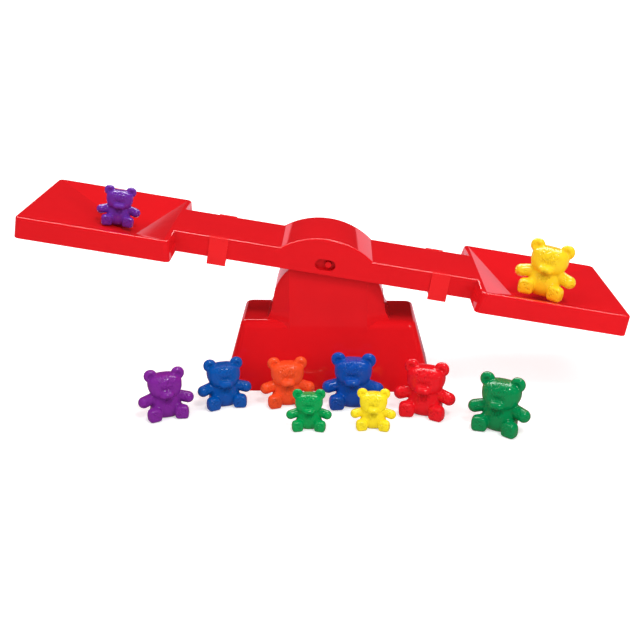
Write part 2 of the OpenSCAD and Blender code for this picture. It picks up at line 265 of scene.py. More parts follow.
def weld(made):
    """Joins points closer than any real edge is long, which would hold the rounding back."""
    work = bmesh.new()
    work.from_mesh(made.data)
    bmesh.ops.remove_doubles(work, verts=work.verts, dist=SHORTEST_EDGE)
    bmesh.ops.dissolve_degenerate(work, edges=work.edges, dist=SHORTEST_EDGE / 2)
    bmesh.ops.recalc_face_normals(work, faces=work.faces)
    work.to_mesh(made.data)
    work.free()


def round_edges(made, width, steps=3, wide=None, least=CREASE_ANGLE, clamp=True):
    """Rounds each edge from the least angle up, and leaves the other creases crisp.

    wide(middle, direction) may give one edge its own width, 0 for none or None for the usual.
    """
    work = bmesh.new()
    work.from_mesh(made.data)
    layer = work.edges.layers.float.new("bevel_weight_edge")
    widths = {}
    for edge in work.edges:
        if len(edge.link_faces) != 2 or edge.calc_face_angle(0) < CREASE_ANGLE:
            continue
        ends = [v.co for v in edge.verts]
        own = wide((ends[0] + ends[1]) / 2, (ends[1] - ends[0]).normalized()) if wide else None
        if own == 0 or edge.calc_face_angle(0) < least:
            edge.smooth = False
        else:
            widths[edge] = width if own is None else own
    widest = max(widths.values())
    for edge, value in widths.items():
        edge[layer] = value / widest
    work.to_mesh(made.data)
    work.free()
    bevel = made.modifiers.new("bevel", "BEVEL")
    bevel.limit_method = "WEIGHT"
    bevel.width = widest
    bevel.segments = steps
    bevel.miter_outer = "MITER_ARC"
    bevel.use_clamp_overlap = clamp
    settle(made)


def shade(made):
    """Smooth shading that keeps broad faces flat."""
    made.data.polygons.foreach_set("use_smooth", [True] * len(made.data.polygons))
    weigh = made.modifiers.new("normals", "WEIGHTED_NORMAL")
    weigh.mode = "FACE_AREA"
    weigh.weight = 50
    weigh.keep_sharp = True
    settle(made)


def place(made, matrix):
    """Moves a piece's mesh for good."""
    made.data.transform(matrix)


# Beam


def hub_outline(inset, bottom):
    """The arm's and hub's outline in X and Z, drawn inset by a wall."""
    radius = (HUB_HALF**2 + HUB_RISE**2) / (2 * HUB_RISE)
    centre = ARM_TOP + HUB_RISE - radius
    radius -= inset
    top = ARM_TOP - inset
    swing = math.degrees(math.acos((top - centre) / radius))
    return [
        (-PAN_START, bottom),
        (PAN_START, bottom),
        (PAN_START, top),
        *arc((0, centre), radius, 90 - swing, 90 + swing, ARC_STEPS),
        (-PAN_START, top),
    ]


def pan_outline(side):
    """A pan's plan as X, Y and how far each point leans in at the skirt's bottom."""
    x0, x1 = PAN_START + PAN_CORNER, BEAM_HALF - PAN_CORNER
    y = PAN_HALF_WIDTH - PAN_CORNER
    points = []
    for centre, start in (((x1, y), 0), ((x0, y), 90), ((x0, -y), 180), ((x1, -y), 270)):
        for px, py in arc(centre, PAN_CORNER, start, start + 90, PAN_CORNER_STEPS):
            lean = side * PAN_LEAN if px < x0 + OVERRUN else 0
            points.append((side * px, side * py, lean))
    return points


def sunk_pyramid(name, side, rim):
    """The space above a pan's four floor facets."""
    x0, x1 = side * (PAN_START + PAN_RIM), side * (BEAM_HALF - PAN_RIM)
    y = PAN_HALF_WIDTH - PAN_RIM
    corners = [(x0, -y), (x1, -y), (x1, y), (x0, y)]
    points = [(*c, rim) for c in corners] + [(*c, rim + OVERRUN) for c in corners]
    points.append((side * VALLEY_X, VALLEY_Y, rim - VALLEY_DEPTH))
    faces = [(7, 6, 5, 4)]
    for i in range(4):
        j = (i + 1) % 4
        faces += [(i, i + 4, j + 4, j), (i, j, 8)]
    made = new_object(name, points, faces)
    outward(made)
    return made


def build_pan(side):
    """A pan with its leaning inner wall, sunk floor and hollow underside."""
    outline = pan_outline(side)
    bottom = ARM_TOP - SKIRT
    pan = loft(
        "pan",
        [
            [(x - lean, y, bottom) for x, y, lean in outline],
            [(x, y, ARM_TOP) for x, y, lean in outline],
        ],
    )
    combine(pan, sunk_pyramid("sink", side, ARM_TOP), "DIFFERENCE")
    x0, x1 = sorted([side * (PAN_START + BEAM_WALL), side * (BEAM_HALF - BEAM_WALL)])
    y = PAN_HALF_WIDTH - BEAM_WALL
    hollow = block("hollow", (x0, -y, bottom - OVERRUN), (x1, y, ARM_TOP - FLOOR_WALL))
    combine(hollow, sunk_pyramid("sink", side, ARM_TOP - FLOOR_WALL), "DIFFERENCE")
    combine(pan, hollow, "DIFFERENCE")
    return pan


def slot_outline():
    """The long round-ended slot that the pin shows in."""
    run = (SLOT_LENGTH - SLOT_HEIGHT) / 2
    z = ARM_TOP - SKIRT / 2
    r = SLOT_HEIGHT / 2
    return arc((run, z), r, -90, 90, ARC_STEPS) + arc((-run, z), r, 90, 270, ARC_STEPS)


def notch_rib(y):
    """One of the two ribs in the hub whose notch rests on the knife edge."""
    depth = NOTCH_DROP + KNIFE_GAP
    half = NOTCH_SLOPE * depth
    top = ARM_TOP + HUB_RISE - BEAM_WALL
    outline = [
        (-NOTCH_HALF_WIDTH, -NOTCH_DROP),
        (-half, -NOTCH_DROP),
        (0, KNIFE_GAP),
        (half, -NOTCH_DROP),
        (NOTCH_HALF_WIDTH, -NOTCH_DROP),
        (NOTCH_HALF_WIDTH, top),
        (-NOTCH_HALF_WIDTH, top),
    ]
    rib = across("rib", outline, NOTCH_WALL / 2)
    place(rib, Matrix.Translation((0, y, 0)))
    return rib


def build_beam():
    """The arm with its hub, both pans, the notched ribs and the stop ribs, as one moulding."""
    bottom = ARM_TOP - SKIRT
    beam = across("balance_beam_moulding", hub_outline(0, bottom), ARM_HALF_WIDTH)
    inside = ARM_HALF_WIDTH - BEAM_WALL
    hollow = across("hollow", hub_outline(BEAM_WALL, bottom - OVERRUN), inside)
    combine(beam, hollow, "DIFFERENCE")
    for side in (-1, 1):
        combine(beam, build_pan(side), "UNION")
    combine(beam, across("slot", slot_outline(), ARM_HALF_WIDTH + OVERRUN), "DIFFERENCE")
    for y in (-NOTCH_Y, NOTCH_Y):
        combine(beam, notch_rib(y), "UNION")
    for side in (-1, 1):
        x0, x1 = sorted([side * STOP_X, side * (STOP_X + BEAM_WALL)])
        end = inside + OVERRUN
        rib = block("rib", (x0, -end, -STOP_DROP), (x1, end, ARM_TOP - OVERRUN))
        combine(beam, rib, "UNION")
    tidy(beam)
    slot_z = ARM_TOP - SKIRT / 2
    slice_flat(beam, (0, 0, slot_z))
    weld(beam)

    def wide(middle, direction):
        if middle.z < bottom + CLOSE:
            return BEAM_LOW_EDGE
        in_arm = abs(middle.x) < PAN_START - CLOSE
        in_slot = in_arm and abs(middle.z - slot_z) < SLOT_HEIGHT / 2 + 2 * CLOSE
        outer = ARM_HALF_WIDTH if in_arm else PAN_HALF_WIDTH
        steep = abs(direction.z) > 0.8
        if in_slot or steep or (in_arm and abs(middle.y) < outer - CLOSE):
            return 0
        from_start = abs(middle.x) - PAN_START
        at_end = not in_arm and not PAN_CORNER < from_start < PAN_CORNER_TO_CORNER
        at_side = abs(middle.y) > outer - PAN_CORNER
        on_top = middle.z > ARM_TOP - CLOSE
        return None if on_top and (at_side or at_end) else 0

    round_edges(beam, BEAM_TOP_EDGE, wide=wide, least=BEAM_CREASE, clamp=False)
    shade(beam)
    place(beam, ON_PIVOT)
    return beam


# Riders


def build_rider(name, x):
    """A clip round the arm from below: two legs with hooks over the top edges, and a web."""
    outer = ARM_HALF_WIDTH + RIDER_GAP + RIDER_WALL
    inner = ARM_HALF_WIDTH + RIDER_GAP
    hook = inner - RIDER_HOOK
    foot = ARM_TOP - SKIRT - RIDER_REACH
    web_top = ARM_TOP - SKIRT - RIDER_GAP
    web_bottom = web_top - RIDER_WEB
    under, over = ARM_TOP + HOOK_GAP, ARM_TOP + HOOK_GAP + HOOK_WALL
    right = [
        (inner, web_bottom), (inner, foot), (outer, foot), (outer, over),
        (hook, over), (hook, under), (inner, under), (inner, web_top),
    ]
    outline = right + [(-y, z) for y, z in reversed(right)]
    ends = (x - RIDER_WIDTH / 2, x + RIDER_WIDTH / 2)
    rider = loft(name, [[(end, y, z) for y, z in outline] for end in ends])

    def wide(middle, direction):
        on_shoulder = abs(direction.x) > 0.9 and middle.z > over - CLOSE
        return RIDER_SHOULDER_EDGE if on_shoulder and abs(middle.y) > inner else None

    round_edges(rider, RIDER_EDGE, wide=wide)
    shade(rider)
    place(rider, ON_PIVOT)
    return rider


# Foot


def rounded_ring(half_x, half_y, radius, z, steps=10):
    """A level rectangle with round corners."""
    points = []
    x, y = half_x - radius, half_y - radius
    for centre, start in (((x, y), 0), ((-x, y), 90), ((-x, -y), 180), ((x, -y), 270)):
        points += [(px, py, z) for px, py in arc(centre, radius, start, start + 90, steps)]
    return points


def build_foot_form(name, inset, low):
    """The sloping foot with its rounded shoulders, drawn inset by a wall."""
    front_lean = math.atan((FOOT_HALF_DEPTH - TOWER_HALF_DEPTH) / SHOULDER_Z)
    end_lean = math.atan((FOOT_HALF_LENGTH - SHOULDER_HALF_LENGTH) / SHOULDER_Z)
    right_angle = math.radians(90)
    front_y = TOWER_HALF_DEPTH - FRONT_EDGE / math.tan((right_angle + front_lean) / 2)
    end_x = SHOULDER_HALF_LENGTH - END_EDGE / math.tan((right_angle + end_lean) / 2)
    front_z, end_z = SHOULDER_Z - FRONT_EDGE, SHOULDER_Z - END_EDGE
    front_r, end_r = FRONT_EDGE - inset, max(END_EDGE - inset, LEAST_END_EDGE)

    def half_depth(z):
        if z > front_z + front_r * math.sin(front_lean):
            return front_y + math.sqrt(max(front_r**2 - (z - front_z) ** 2, 0))
        return FOOT_HALF_DEPTH - inset / math.cos(front_lean) - z * math.tan(front_lean)

    def half_length(z):
        if z > end_z + end_r * math.sin(end_lean):
            return end_x + math.sqrt(max(end_r**2 - (z - end_z) ** 2, 0))
        return FOOT_HALF_LENGTH - inset / math.cos(end_lean) - z * math.tan(end_lean)

    top = SHOULDER_Z - inset
    start = front_z + front_r * math.sin(front_lean)
    slope_zs = [start * i / SLOPE_STEPS for i in range(1, SLOPE_STEPS)]
    front_zs = [
        front_z + front_r * math.sin(front_lean + (right_angle - front_lean) * i / FRONT_STEPS)
        for i in range(FRONT_STEPS)
    ]
    end_zs = [
        end_z + end_r * math.sin(end_lean + (right_angle - end_lean) * i / END_STEPS)
        for i in range(END_STEPS)
    ]
    zs = sorted(set([low, *slope_zs, *front_zs, *end_zs])) + [top]
    rings = []
    for z in zs:
        rise = max((z - start) / (top - start), 0)
        radius = max(FOOT_CORNER - inset - rise * rise * CORNER_CLOSING, LEAST_CORNER)
        rings.append(rounded_ring(half_length(z), half_depth(z), radius, z))
    return loft(name, rings)


def build_tower_form(name, inset, low):
    """The tower with its round head, drawn inset by a wall."""
    half = TOWER_HALF - inset
    root = half + TOWER_FLARE
    outline = [(-root, low), (root, low), (root, SHOULDER_Z)]
    outline += arc((0, HEAD_Z), half, 0, 180, 2 * ARC_STEPS) + [(-root, SHOULDER_Z)]
    tower = across(name, outline, TOWER_HALF_DEPTH - inset)
    flat = TOWER_FLAT - inset / 2
    depth = TOWER_HALF_DEPTH - inset
    side = depth - TOWER_BEVEL
    slope = TOWER_BEVEL / (root - flat)
    reach, past = root + OVERRUN, depth + OVERRUN
    cut = side - OVERRUN * slope
    plan = [
        (-flat, -past), (flat, -past), (flat, -depth), (reach, -cut),
        (reach, cut), (flat, depth), (flat, past), (-flat, past),
        (-flat, depth), (-reach, cut), (-reach, -cut), (-flat, -depth),
    ]
    combine(tower, upward("plan", plan, low - OVERRUN, PIVOT.z), "INTERSECT")
    return tower


def build_tower_root():
    """Blends the tower's front and back into the sloping foot, and flares its sides."""
    lean = math.atan((FOOT_HALF_DEPTH - TOWER_HALF_DEPTH) / SHOULDER_Z)
    radius = 2 * ROOT_RISE / math.tan(lean)
    top = SHOULDER_Z + radius * math.tan(lean / 2)
    low = top - radius * math.sin(lean)
    rings = []
    for i in range(ROOT_STEPS + 1):
        z = top + (low - top) * i / ROOT_STEPS
        out = radius - math.sqrt(radius**2 - (top - z) ** 2)
        side = max(1 - (z - SHOULDER_Z) / ROOT_RISE, 0)
        half = TOWER_HALF + TOWER_FLARE * ROOT_SIDE_FLARE + ROOT_FLARE * side**ROOT_CURVE
        rings.append((z, out, half))
    rings.append((low - 2 * OVERRUN, rings[-1][1] - OVERRUN, rings[-1][2]))
    solid = []
    for z, out, half in rings:
        y = TOWER_HALF_DEPTH + out
        flank = y - TOWER_BEVEL
        solid.append([
            (-TOWER_FLAT, -y, z), (TOWER_FLAT, -y, z), (half, -flank, z), (half, flank, z),
            (TOWER_FLAT, y, z), (-TOWER_FLAT, y, z), (-half, flank, z), (-half, -flank, z),
        ])
    return loft("root", solid)


def build_foot():
    """The foot and tower as one moulding, open below, with its inner rib and knife edge."""
    foot = build_foot_form("foot_moulding", 0, 0)
    low = SHOULDER_Z / 2
    combine(foot, build_tower_form("tower", 0, low), "UNION")
    combine(foot, build_tower_root(), "UNION")
    hollow = build_foot_form("hollow", FOOT_WALL, -OVERRUN)
    combine(hollow, build_tower_form("tower", FOOT_WALL, low), "UNION")
    half_rib, far = RIB_WALL / 2, BEAM_HALF
    rib = block("rib", (-far, -half_rib, -far), (far, half_rib, far))
    combine(hollow, rib, "DIFFERENCE")
    combine(foot, hollow, "DIFFERENCE")
    knife_z = HEAD_Z + TOWER_HALF - OVERRUN
    outline = [(-KNIFE_HALF, knife_z), (KNIFE_HALF, knife_z), (0, PIVOT.z)]
    combine(foot, across("knife", outline, TOWER_HALF_DEPTH - KNIFE_END), "UNION")
    ring = arc((0, PIN_Z), PIN_R + PIN_FIT, 0, 360 - 360 / PIN_STEPS, PIN_STEPS - 1)
    combine(foot, across("bore", ring, 2 * TOWER_HALF_DEPTH), "DIFFERENCE")
    tidy(foot)
    weld(foot)

    def wide(middle, direction):
        level = abs(direction.z) < 0.2
        near_shoulder = abs(middle.z - SHOULDER_Z) < SHOULDER_REACH
        outside = abs(middle.y) > TOWER_HALF_DEPTH - FOOT_WALL / 2
        if level and near_shoulder and outside and abs(direction.x) > 0.9:
            return SHOULDER_EDGE
        beside = abs(abs(middle.x) - TOWER_HALF - TOWER_FLARE) < TOWER_EDGE_REACH
        if near_shoulder and beside:
            return TOWER_EDGE
        return KNIFE_EDGE if middle.z > PIVOT.z - KNIFE_HEIGHT else None

    round_edges(foot, FOOT_EDGE, wide=wide)
    shade(foot)
    return foot


def build_pin():
    """The pin's rounded end shows in the slot."""
    end = arc((PIN_R - PIN_EDGE, PIN_HALF - PIN_EDGE), PIN_EDGE, 0, 90, PIN_EDGE_STEPS)
    profile = [(PIN_R, 0), *end]
    turns = [math.radians(360 / PIN_STEPS * i) for i in range(PIN_STEPS)]
    rings = []
    for r, y in [(r, -y) for r, y in reversed(end)] + profile:
        rings.append([(r * math.cos(a), y, PIN_Z + r * math.sin(a)) for a in turns])
    pin = loft("pin_turned", rings)
    shade(pin)
    return pin


# Bears, drawn one unit tall, facing -Y


def smooth_min(a, b, k):
    """The lesser of two distances, blended where they meet."""
    h = np.clip(0.5 + 0.5 * (b - a) / k, 0, 1)
    return b + (a - b) * h - k * h * (1 - h)


def smooth_max(a, b, k):
    """The greater of two distances, blended where they meet."""
    return -smooth_min(-a, -b, k)


def turned(x, y, degrees):
    """X and Y of a point, turned about Z."""
    c, s = math.cos(math.radians(degrees)), math.sin(math.radians(degrees))
    return x * c + y * s, y * c - x * s


def ellipsoid(p, centre, radii, power=2.0):
    """Distance to an ellipsoid, boxier as the power rises."""
    q = [np.abs(p[i] - centre[i]) / radii[i] for i in range(3)]
    k = (q[0] ** power + q[1] ** power + q[2] ** power) ** (1 / power)
    steep = np.sqrt(sum((q[i] / radii[i]) ** 2 for i in range(3)))
    steep = steep / np.maximum(np.sqrt(sum(v**2 for v in q)), 1e-6)
    return (k - 1) / np.maximum(steep, 1e-6)


def rod(p, a, b, ra, rb):
    """Distance to a round bar that tapers from one radius to another."""
    d = [b[i] - a[i] for i in range(3)]
    t = sum((p[i] - a[i]) * d[i] for i in range(3)) / sum(v * v for v in d)
    t = np.clip(t, 0, 1)
    return np.sqrt(sum((p[i] - a[i] - t * d[i]) ** 2 for i in range(3))) - ra - (rb - ra) * t


def round_box(p, half, r):
    """Distance to a box with round edges."""
    q = [np.abs(p[i]) - (half[i] - r) for i in range(3)]
    outside = np.sqrt(sum(np.maximum(v, 0) ** 2 for v in q))
    return outside + np.minimum(np.maximum(np.maximum(q[0], q[1]), q[2]), 0) - r


def bear_head(m):
    """Broad and boxy, narrower at the jaw, with the eye band set back under the brow."""
    skull = ellipsoid(m, (0, 0.01, 0.685), (0.345, 0.24, 0.215), 2.7)
    jaw = ellipsoid(m, (0, -0.03, 0.56), (0.295, 0.22, 0.165), 2.4)
    head = smooth_min(skull, jaw, 0.07)
    band = ellipsoid(m, (0, -0.325, 0.635), (0.215, 0.105, 0.055))
    head = smooth_max(head, -band, 0.045)
    muzzle = ellipsoid(m, (0, -0.215, 0.52), (0.15, 0.13, 0.082), 2.2)
    head = smooth_min(head, muzzle, 0.018)
    ear = ellipsoid(m, (0.277, 0.02, 0.866), (0.134, 0.09, 0.134), 2.1)
    dish = ellipsoid(m, (0.272, -0.108, 0.862), (0.085, 0.085, 0.085))
    ear = smooth_max(ear, -dish, 0.03)
    return smooth_min(head, ear, 0.025)


def bear_field(p):
    """Seated, stubby arms held out and a little down, and feet with flat upright soles."""
    x, y, z = p
    ax = np.abs(x)
    m = (ax, y, z)
    trunk = ellipsoid(m, (0, 0.01, 0.20), (0.31, 0.27, 0.26), 2.4)
    chest = ellipsoid(m, (0, 0, 0.38), (0.265, 0.205, 0.17), 2.3)
    figure = smooth_min(trunk, chest, 0.06)
    figure = smooth_min(figure, bear_head(m), 0.02)
    arm = rod(m, (0.19, 0, 0.415), (0.45, -0.085, 0.355), 0.112, 0.118)
    figure = smooth_min(figure, arm, 0.025)
    thigh = rod(m, (0.17, -0.02, 0.145), (0.27, -0.24, 0.14), 0.15, 0.13)
    fx, fy = turned(ax - 0.275, y + 0.29, -14)
    foot = round_box((fx, fy, z - 0.14), (0.145, 0.09, 0.145), 0.06)
    sole = ellipsoid((fx, fy, z - 0.13), (0, 0, 0), (0.15, 0.3, 0.15), 2.5)
    foot = smooth_max(foot, sole, 0.03)
    figure = smooth_min(figure, smooth_min(thigh, foot, 0.05), 0.025)
    return smooth_max(figure, -z, 0.012)


def surface_net(field, lows, highs, step):
    """Points and four-sided faces where a field crosses zero."""
    axes = [np.arange(lo, hi + step, step) for lo, hi in zip(lows, highs)]
    f = field(np.meshgrid(*axes, indexing="ij"))
    inside = f < 0
    shape = np.array(f.shape) - 1
    total, count = np.zeros((*shape, 3)), np.zeros(shape)

    def corner(o):
        return f[tuple(slice(o[i], o[i] + shape[i]) for i in range(3))]

    for a in np.ndindex(2, 2, 2):
        for axis in range(3):
            if a[axis]:
                continue
            b = tuple(1 if i == axis else a[i] for i in range(3))
            fa, fb = corner(a), corner(b)
            crossing = (fa < 0) != (fb < 0)
            t = np.where(crossing, fa / np.where(fa == fb, 1, fa - fb), 0)
            for i in range(3):
                total[..., i] += np.where(crossing, a[i] + (t if i == axis else 0), 0)
            count += crossing
    used = count > 0
    index = -np.ones(shape, int)
    index[used] = np.arange(used.sum())
    start = np.array([a[0] for a in axes])
    points = (np.argwhere(used) + total[used] / count[used][:, None]) * step + start
    faces = []
    for axis in range(3):
        u, v = (axis + 1) % 3, (axis + 2) % 3
        low, high = [slice(None)] * 3, [slice(None)] * 3
        low[axis], high[axis] = slice(0, -1), slice(1, None)
        at = np.argwhere(inside[tuple(low)] != inside[tuple(high)])
        out = ~inside[tuple(at.T)]
        ring = []
        for du, dv in ((0, 0), (-1, 0), (-1, -1), (0, -1)):
            cell = at.copy()
            cell[:, u] += du
            cell[:, v] += dv
            ring.append(index[tuple(cell.T)])
        ring = np.stack(ring, 1)
        ring[out] = ring[out][:, ::-1]
        faces.append(ring)
    return settle_points(field, points, step / 4), np.concatenate(faces)


def settle_points(field, points, reach):
    """Moves each point onto the surface, along the field's slope."""
    for _ in range(3):
        slope = []
        for i in range(3):
            nudge = np.zeros((3, 1))
            nudge[i] = reach
            slope.append((field(points.T + nudge) - field(points.T - nudge)) / (2 * reach))
        slope = np.stack(slope, 1)
        away = field(points.T) / np.maximum((slope**2).sum(1), 0.05)
        points = points - np.clip(away, -reach, reach)[:, None] * slope
    return points


BEAR_STEP = 1 / 64
BEAR_LOW, BEAR_HIGH = (-0.62, -0.5, -0.06), (0.62, 0.36, 1.06)
BEAR_UNDERSIDE = 0.3
BEAR_POINTS, BEAR_FACES = surface_net(bear_field, BEAR_LOW, BEAR_HIGH, BEAR_STEP)


def near(points, centre, radius):
    """1 at a place, falling to 0 at a distance."""
    away = np.sqrt(((points - np.array(centre)) ** 2).sum(1))
    return np.clip(2 - 2 * away / radius, 0, 1)


def fur_places(points):
    """Where the fur strokes are cut: brow, arms, soles, chest and chin."""
    m = points.copy()
    m[:, 0] = np.abs(m[:, 0])
    spots = (
        ((0, -0.2, 0.80), 0.26), ((0.45, -0.12, 0.36), 0.17), ((0.28, -0.4, 0.14), 0.17),
        ((0, -0.2, 0.36), 0.16), ((0, -0.28, 0.46), 0.12),
    )
    return np.max([near(m, centre, radius) for centre, radius in spots], axis=0)


BEAR_FUR = fur_places(BEAR_POINTS)


def build_bear(name, height, matrix):
    """A bear in place, which keeps its unit coordinates and its fur for the material."""
    bear = new_object(name, BEAR_POINTS * height, BEAR_FACES)
    own = bear.data.attributes.new("unit", "FLOAT_VECTOR", "POINT")
    own.data.foreach_set("vector", BEAR_POINTS.astype(np.float32).ravel())
    fur = bear.data.attributes.new("fur", "FLOAT", "POINT")
    fur.data.foreach_set("value", BEAR_FUR.astype(np.float32))
    bear.data.polygons.foreach_set("use_smooth", [True] * len(bear.data.polygons))
    place(bear, matrix)
    return bear


# Materials

# How far the plastic's colour and gloss vary, and how fine each kind of unevenness is
MOTTLE = 0.05
GLOSS_DOWN, GLOSS_UP = 0.01, 0.015
MOTTLE_SCALE, GLOSS_SCALE, GRAIN_SCALE = 45, 160, 1800
GRAIN_STRENGTH, GRAIN_DEPTH = 0.015, 0.05 * MM
PLASTIC_IOR, PLASTIC_SHINE = 1.5, 0.4
BEAR_GLOSS = 0.14

# The fur's strokes fan out from a point in the face, this high on a bear one unit tall
FUR_CENTRE = 0.45
FUR_ROUND, FUR_OUTWARD = 8, 13
FUR_GROOVE = (0.1, 0.4)
FUR_DEPTH = 0.35 * MM


def plastic(name, colour, roughness, furred=False):
    """Glossy moulded plastic: faint mottle, fine grain and slightly uneven gloss."""
    made = bpy.data.materials.new(name)
    made.use_nodes = True
    nodes, links = made.node_tree.nodes, made.node_tree.links
    shader = nodes["Principled BSDF"]
    shader.inputs["IOR"].default_value = PLASTIC_IOR
    shader.inputs["Specular IOR Level"].default_value = PLASTIC_SHINE
    place_node = nodes.new("ShaderNodeTexCoord")

    def noise(scale, detail):
        node = nodes.new("ShaderNodeTexNoise")
        node.inputs["Scale"].default_value = scale
        node.inputs["Detail"].default_value = detail
        links.new(place_node.outputs["Object"], node.inputs["Vector"])
        return node.outputs["Fac"]

    mottle = nodes.new("ShaderNodeMix")
    mottle.data_type = "RGBA"
    mottle.inputs["A"].default_value = (*[c * (1 - MOTTLE) for c in colour], 1)
    mottle.inputs["B"].default_value = (*[min(c * (1 + MOTTLE), 1) for c in colour], 1)
    links.new(noise(MOTTLE_SCALE, 3), mottle.inputs["Factor"])
    links.new(mottle.outputs["Result"], shader.inputs["Base Color"])
    uneven = nodes.new("ShaderNodeMapRange")
    uneven.inputs["To Min"].default_value = roughness - GLOSS_DOWN
    uneven.inputs["To Max"].default_value = roughness + GLOSS_UP
    links.new(noise(GLOSS_SCALE, 4), uneven.inputs["Value"])
    links.new(uneven.outputs["Result"], shader.inputs["Roughness"])
    grain = nodes.new("ShaderNodeBump")
    grain.inputs["Strength"].default_value = GRAIN_STRENGTH
    grain.inputs["Distance"].default_value = GRAIN_DEPTH
    links.new(noise(GRAIN_SCALE, 2), grain.inputs["Height"])
    if furred:
        strokes = nodes.new("ShaderNodeBump")
        strokes.inputs["Strength"].default_value = 1
        strokes.inputs["Distance"].default_value = FUR_DEPTH
        links.new(fur_height(nodes, links), strokes.inputs["Height"])
        links.new(strokes.outputs["Normal"], grain.inputs["Normal"])
    links.new(grain.outputs["Normal"], shader.inputs["Normal"])
    return made


def fur_height(nodes, links):
    """Short engraved strokes that fan out round the face, where the "fur" value is high."""
    unit = nodes.new("ShaderNodeAttribute")
    unit.attribute_name = "unit"
    split = nodes.new("ShaderNodeSeparateXYZ")
    links.new(unit.outputs["Vector"], split.inputs[0])

    def math_node(operation, a, b):
        node = nodes.new("ShaderNodeMath")
        node.operation = operation
        for socket, value in zip(node.inputs, (a, b)):
            if isinstance(value, (int, float)):
                socket.default_value = value
            else:
                links.new(value, socket)
        return node.outputs[0]

    rise = math_node("SUBTRACT", split.outputs["Z"], FUR_CENTRE)
    fan = math_node("ARCTAN2", split.outputs["X"], rise)
    up = math_node("MULTIPLY", rise, rise)
    aside = math_node("MULTIPLY", split.outputs["X"], split.outputs["X"])
    reach = math_node("POWER", math_node("ADD", up, aside), 0.5)
    polar = nodes.new("ShaderNodeCombineXYZ")
    links.new(math_node("MULTIPLY", fan, FUR_ROUND), polar.inputs["X"])
    links.new(math_node("MULTIPLY", reach, FUR_OUTWARD), polar.inputs["Y"])
    cells = nodes.new("ShaderNodeTexVoronoi")
    cells.voronoi_dimensions = "2D"
    cells.inputs["Scale"].default_value = 1
    links.new(polar.outputs[0], cells.inputs["Vector"])
    groove = nodes.new("ShaderNodeMapRange")
    groove.interpolation_type = "SMOOTHSTEP"
    groove.inputs["From Min"].default_value = FUR_GROOVE[0]
    groove.inputs["From Max"].default_value = FUR_GROOVE[1]
    links.new(cells.outputs["Distance"], groove.inputs["Value"])
    where = nodes.new("ShaderNodeAttribute")
    where.attribute_name = "fur"
    return math_node("MULTIPLY", groove.outputs["Result"], where.outputs["Fac"])


def linear(red, green, blue):
    """A display colour, 0 to 255, as Blender's linear values."""
    values = [c / 255 for c in (red, green, blue)]
    return tuple(c / 12.92 if c <= 0.04045 else ((c + 0.055) / 1.055) ** 2.4 for c in values)


RED = plastic("red_plastic", linear(232, 24, 31), 0.045)
RIDER = plastic("rider_plastic", linear(246, 34, 38), 0.12)
BEAR_COLOURS = {
    "purple_dark": plastic("bear_purple_dark", linear(108, 46, 164), BEAR_GLOSS, True),
    "purple": plastic("bear_purple", linear(128, 38, 150), BEAR_GLOSS, True),
    "blue": plastic("bear_blue", linear(4, 84, 170), BEAR_GLOSS, True),
    "blue_dark": plastic("bear_blue_dark", linear(10, 76, 172), BEAR_GLOSS, True),
    "orange": plastic("bear_orange", linear(249, 82, 38), BEAR_GLOSS, True),
    "green": plastic("bear_green", linear(0, 158, 80), BEAR_GLOSS, True),
    "green_dark": plastic("bear_green_dark", linear(0, 134, 74), BEAR_GLOSS, True),
    "yellow": plastic("bear_yellow", linear(255, 226, 36), BEAR_GLOSS, True),
    "yellow_dark": plastic("bear_yellow_dark", linear(252, 208, 34), BEAR_GLOSS, True),
    "red": plastic("bear_red", linear(232, 24, 34), BEAR_GLOSS, True),
}


def dress(made, material, body, node):
    """Gives a piece its material and puts it on its body, in place of a node."""
    made.data.materials.clear()
    made.data.materials.append(material)
    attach(made, body)
    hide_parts(node)


dress(build_foot(), RED, "foot", "base_shell")
dress(build_pin(), RED, "foot", "retaining_pin")
dress(build_beam(), RED, "beam", "balance_beam")
left = build_rider("rider_left_clip", RIDER_LEFT_X)
dress(left, RIDER, "left_rider", "rider_left")
right = build_rider("rider_right_clip", RIDER_RIGHT_X)
dress(right, RIDER, "right_rider", "rider_right")

SMALL, MEDIUM, LARGE = 25.5 * MM, 32 * MM, 36 * MM
PERCH_GAP = 0.3 * MM


def floor_depth(x, y):
    """Depth of a pan's floor below its rim."""
    half = PAN_HALF_WIDTH - PAN_RIM
    start, end = PAN_START + PAN_RIM, BEAM_HALF - PAN_RIM
    return VALLEY_DEPTH * min(
        (half + y) / (half + VALLEY_Y),
        (half - y) / (half - VALLEY_Y),
        (end - abs(x)) / (end - VALLEY_X),
        (abs(x) - start) / (VALLEY_X - start),
    )


def perch(height, x, y, heading):
    """How far below the rim a bear's underside comes, so that all of it is above the floor."""
    low = BEAR_POINTS[BEAR_POINTS[:, 2] < BEAR_UNDERSIDE] * height
    c, s = math.cos(math.radians(heading)), math.sin(math.radians(heading))
    depths = [
        floor_depth(x + px * c - py * s, y + px * s + py * c) + pz for px, py, pz in low
    ]
    return min(depths) - PERCH_GAP


